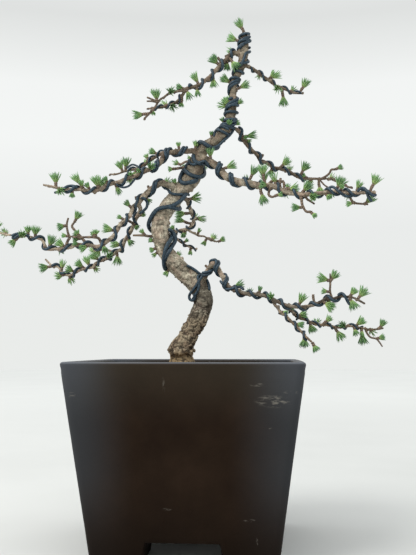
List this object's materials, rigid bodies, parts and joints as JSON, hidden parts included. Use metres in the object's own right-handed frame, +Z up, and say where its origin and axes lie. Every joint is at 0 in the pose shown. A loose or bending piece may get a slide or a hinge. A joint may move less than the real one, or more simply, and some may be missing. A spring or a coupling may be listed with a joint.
{
  "type": "larch bonsai in a square pot",
  "caption": "Wired larch bonsai with a curved trunk, spreading branches and short needle tufts, standing in the soil of a tapered square pot with corner feet.",
  "frame": {"origin": "middle of the pot's foot, on the surface it stands on", "axes": "+Z up, +X to the right and +Y to the back, seen from the tree's front"},
  "size_m": [0.3697, 0.2026, 0.4962],
  "materials": {
    "pot": "matte dark brown stoneware",
    "mesh": "matte black net",
    "soil": "damp granules",
    "bark": "rough fissured bark",
    "needles": "soft fresh green needles",
    "wire": "dark anodised"
  },
  "bodies": {
    "root": {"pot": "pot", "drainage_mesh": "mesh", "soil": "soil", "tree": "bark", "trunk_wire": "wire", "leader_wire": "wire", "top_left_wire": "wire", "top_left_fork_wire": "wire", "top_right_wire": "wire", "left_high_wire": "wire", "left_high_fork_wire": "wire", "left_low_wire": "wire", "left_low_back_wire": "wire", "back_wire": "wire", "back_upper_wire": "wire", "right_high_wire": "wire", "right_main_wire": "wire", "right_low_wire": "wire", "right_low_fork_wire": "wire", "right_low_front_wire": "wire"}
  },
  "joints": []
}
